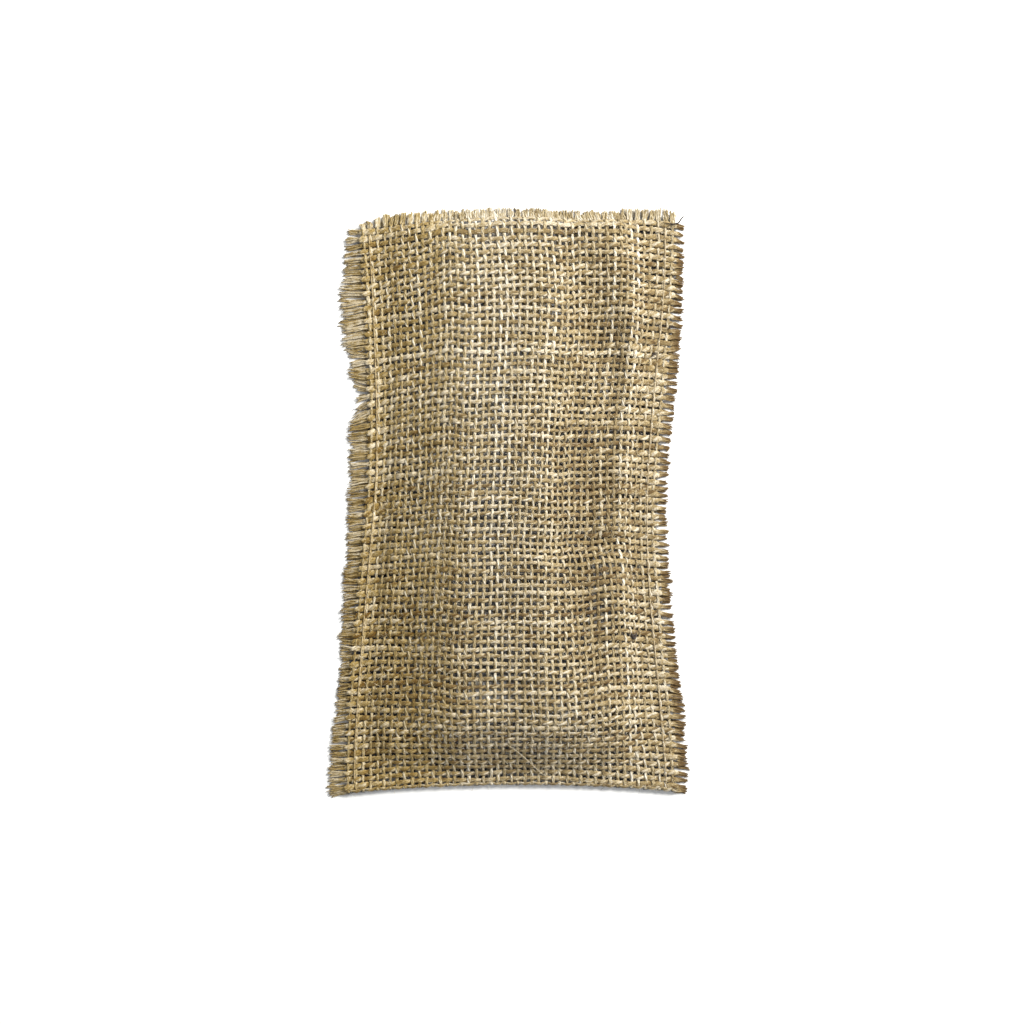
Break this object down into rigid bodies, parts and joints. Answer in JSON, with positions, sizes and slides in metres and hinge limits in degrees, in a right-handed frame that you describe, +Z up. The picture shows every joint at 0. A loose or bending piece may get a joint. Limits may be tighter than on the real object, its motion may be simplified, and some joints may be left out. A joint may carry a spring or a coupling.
{
  "type": "jute pouch",
  "caption": "Flat open-mouthed pouch of loose plain-woven jute, folded at the bottom, sewn up both sides, with frayed yarn ends along the sides and mouth.",
  "frame": {"origin": "middle of the outer box in X and Y, at the level of the surface that the pouch lies on", "axes": "+Z up out of the front panel, +Y towards the open mouth, +X to the right of the front panel"},
  "size_m": [0.1256, 0.2056, 0.0167],
  "materials": {
    "jute_cloth": "matte, coarse plain weave",
    "jute_warp_ends": "matte, loose pale yarn ends",
    "jute_weft_ends": "matte, loose tan yarn ends",
    "sewing_thread": "matte, twisted thread"
  },
  "bodies": {
    "root": {"front_panel": "jute_cloth", "back_panel": "jute_cloth", "bottom_fold": "jute_cloth", "left_fringe_front": "jute_weft_ends", "left_fringe_back": "jute_weft_ends", "right_fringe_front": "jute_weft_ends", "right_fringe_back": "jute_weft_ends", "mouth_fringe_front": "jute_warp_ends", "mouth_fringe_back": "jute_warp_ends", "left_needle_thread": "sewing_thread", "left_bobbin_thread": "sewing_thread", "right_needle_thread": "sewing_thread", "right_bobbin_thread": "sewing_thread"}
  },
  "joints": []
}
